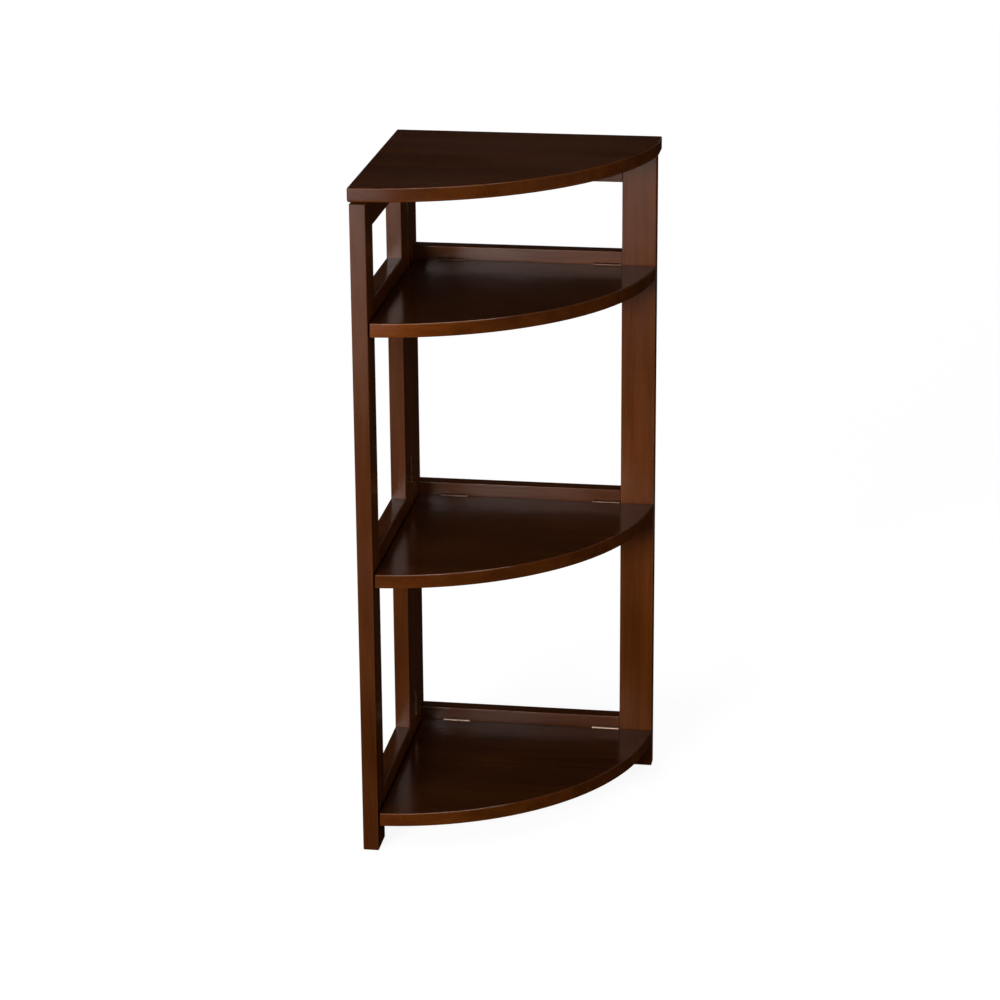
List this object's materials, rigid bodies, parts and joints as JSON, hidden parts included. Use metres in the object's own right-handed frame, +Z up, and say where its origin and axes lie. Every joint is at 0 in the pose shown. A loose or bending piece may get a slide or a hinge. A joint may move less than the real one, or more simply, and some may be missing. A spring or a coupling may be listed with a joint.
{
  "type": "folding corner shelf unit",
  "caption": "Folding corner shelf unit: quarter-round shelves and top set in open wooden frames, the panels folding up on butt hinges.",
  "frame": {"origin": "middle of the unit's footprint, on the floor", "axes": "+X along the back frame from the corner post to the free end, +Y towards the wall behind the back frame, +Z up"},
  "size_m": [0.344, 0.34, 0.8636],
  "materials": {
    "frame_wood": "satin dark walnut lacquer",
    "panel_wood": "semi-gloss dark walnut lacquer",
    "hinge_metal": "satin steel",
    "pin_metal": "satin steel",
    "screw_metal": "satin steel"
  },
  "bodies": {
    "frames": {"corner_post": "frame_wood", "right_stile": "frame_wood", "back_rail_low": "frame_wood", "back_rail_mid": "frame_wood", "back_rail_high": "frame_wood", "back_rail_top": "frame_wood", "rear_stile": "frame_wood", "front_stile": "frame_wood", "side_rail_low": "frame_wood", "side_rail_mid": "frame_wood", "side_rail_high": "frame_wood", "side_rail_top": "frame_wood", "shelf_rest_low": "frame_wood", "shelf_rest_mid": "frame_wood", "shelf_rest_high": "frame_wood", "rest_screw_low_rear": "screw_metal", "rest_screw_low_front": "screw_metal", "rest_screw_mid_rear": "screw_metal", "rest_screw_mid_front": "screw_metal", "rest_screw_high_rear": "screw_metal", "rest_screw_high_front": "screw_metal", "corner_hinge_low_fixed_leaf": "hinge_metal", "corner_hinge_low_moving_leaf": "hinge_metal", "corner_hinge_low_pin": "pin_metal", "corner_hinge_mid_fixed_leaf": "hinge_metal", "corner_hinge_mid_moving_leaf": "hinge_metal", "corner_hinge_mid_pin": "pin_metal", "corner_hinge_high_fixed_leaf": "hinge_metal", "corner_hinge_high_moving_leaf": "hinge_metal", "corner_hinge_high_pin": "pin_metal", "shelf_low_hinge_left_fixed_leaf": "hinge_metal", "shelf_low_hinge_left_pin": "pin_metal", "shelf_low_hinge_right_fixed_leaf": "hinge_metal", "shelf_low_hinge_right_pin": "pin_metal", "shelf_mid_hinge_left_fixed_leaf": "hinge_metal", "shelf_mid_hinge_left_pin": "pin_metal", "shelf_mid_hinge_right_fixed_leaf": "hinge_metal", "shelf_mid_hinge_right_pin": "pin_metal", "shelf_high_hinge_left_fixed_leaf": "hinge_metal", "shelf_high_hinge_left_pin": "pin_metal", "shelf_high_hinge_right_fixed_leaf": "hinge_metal", "shelf_high_hinge_right_pin": "pin_metal", "top_hinge_left_fixed_leaf": "hinge_metal", "top_hinge_left_pin": "pin_metal", "top_hinge_right_fixed_leaf": "hinge_metal", "top_hinge_right_pin": "pin_metal"},
    "top_panel": {"top": "panel_wood", "top_hinge_left_moving_leaf": "hinge_metal", "top_hinge_right_moving_leaf": "hinge_metal"},
    "high_shelf": {"shelf_high": "panel_wood", "shelf_high_hinge_left_moving_leaf": "hinge_metal", "shelf_high_hinge_right_moving_leaf": "hinge_metal"},
    "mid_shelf": {"shelf_mid": "panel_wood", "shelf_mid_hinge_left_moving_leaf": "hinge_metal", "shelf_mid_hinge_right_moving_leaf": "hinge_metal"},
    "low_shelf": {"shelf_low": "panel_wood", "shelf_low_hinge_left_moving_leaf": "hinge_metal", "shelf_low_hinge_right_moving_leaf": "hinge_metal"}
  },
  "joints": [
    {"name": "top_fold", "type": "hinge", "parent": "frames", "child": "top_panel", "pos_m": [0, 0.1665, 0.84545], "axis": [-1, 0, 0], "range_deg": [0, 90]},
    {"name": "high_shelf_fold", "type": "hinge", "parent": "frames", "child": "high_shelf", "pos_m": [0, 0.1455, 0.6986], "axis": [-1, 0, 0], "range_deg": [0, 90]},
    {"name": "mid_shelf_fold", "type": "hinge", "parent": "frames", "child": "mid_shelf", "pos_m": [0, 0.1455, 0.375], "axis": [-1, 0, 0], "range_deg": [0, 90]},
    {"name": "low_shelf_fold", "type": "hinge", "parent": "frames", "child": "low_shelf", "pos_m": [0, 0.1455, 0.0514], "axis": [-1, 0, 0], "range_deg": [0, 90]}
  ],
  "couplings": [
    {"joint": "high_shelf_fold", "follows": "top_fold", "ratio": 1},
    {"joint": "mid_shelf_fold", "follows": "top_fold", "ratio": 1},
    {"joint": "low_shelf_fold", "follows": "top_fold", "ratio": 1}
  ]
}
